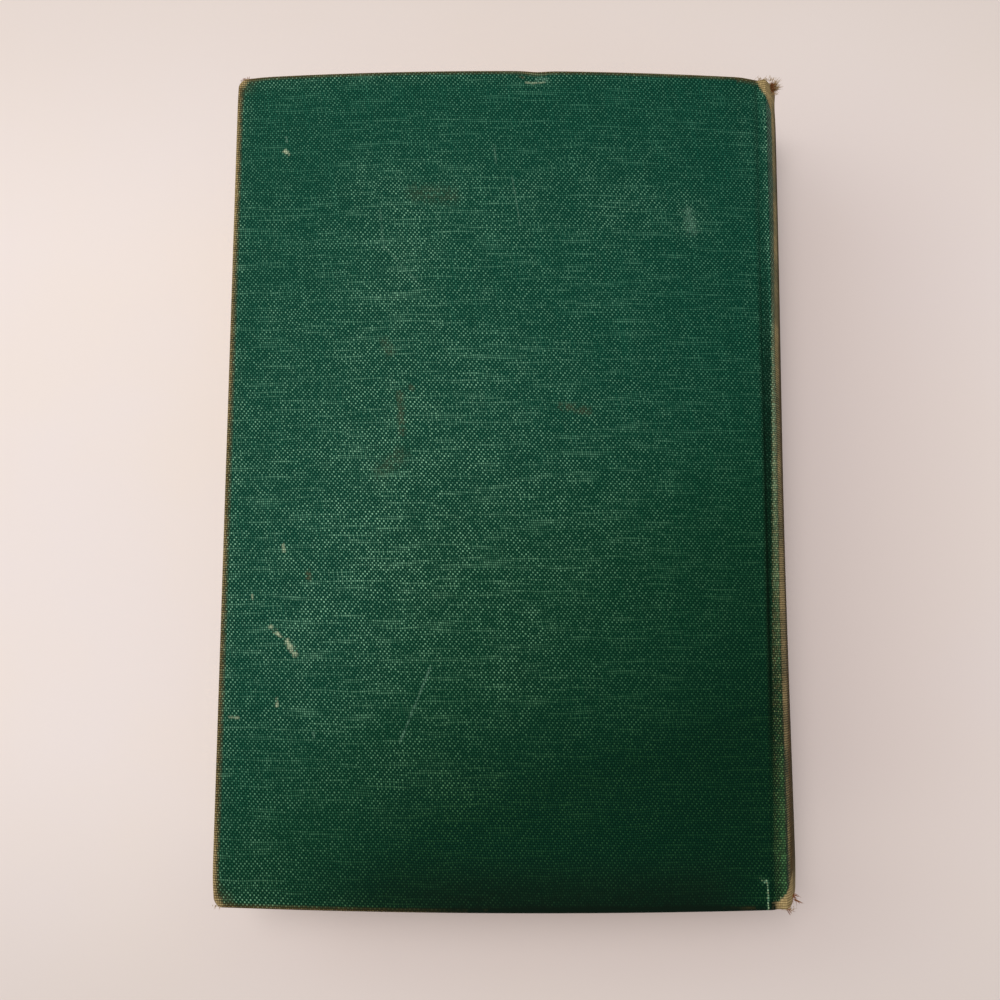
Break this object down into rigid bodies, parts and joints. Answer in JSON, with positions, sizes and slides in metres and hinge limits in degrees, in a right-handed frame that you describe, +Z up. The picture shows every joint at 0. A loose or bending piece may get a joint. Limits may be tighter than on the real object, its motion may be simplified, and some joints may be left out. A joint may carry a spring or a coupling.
{
  "type": "hardback book",
  "caption": "Old cloth-bound hardback book with a rounded spine, grooved joints, worn corners and hinged covers, lying closed on its front cover.",
  "frame": {"origin": "middle of the footprint, on the outer face of the front cover that the book lies on", "axes": "+X from the fore-edge to the spine, +Y from the tail to the head, +Z up, from the front cover to the back cover"},
  "size_m": [0.1304, 0.1898, 0.033],
  "materials": {
    "leaves": "matte",
    "endpaper": "matte",
    "cover_cloth": "matte",
    "worn_cloth": "matte",
    "binders_board": "matte",
    "mull": "matte",
    "lining_paper": "matte",
    "headband_cotton": "matte"
  },
  "bodies": {
    "book_block": {"text_block": "leaves", "front_flyleaf": "endpaper", "back_flyleaf": "endpaper", "headband": "headband_cotton", "tailband": "headband_cotton", "mull": "mull", "spine_lining": "lining_paper", "spine_inlay": "binders_board", "spine_cloth": "worn_cloth"},
    "front_cover": {"front_board": "binders_board", "front_cloth": "cover_cloth", "front_mull_flap": "mull", "front_pastedown": "endpaper"},
    "back_cover": {"back_board": "binders_board", "back_cloth": "cover_cloth", "back_mull_flap": "mull", "back_pastedown": "endpaper"}
  },
  "joints": [
    {"name": "back_cover_hinge", "type": "hinge", "parent": "book_block", "child": "back_cover", "pos_m": [0.057, 0, 0.0298], "axis": [0, 1, 0], "range_deg": [0, 175]},
    {"name": "front_cover_hinge", "type": "hinge", "parent": "book_block", "child": "front_cover", "pos_m": [0.057, 0, 0], "axis": [0, -1, 0], "range_deg": [0, 175]}
  ]
}
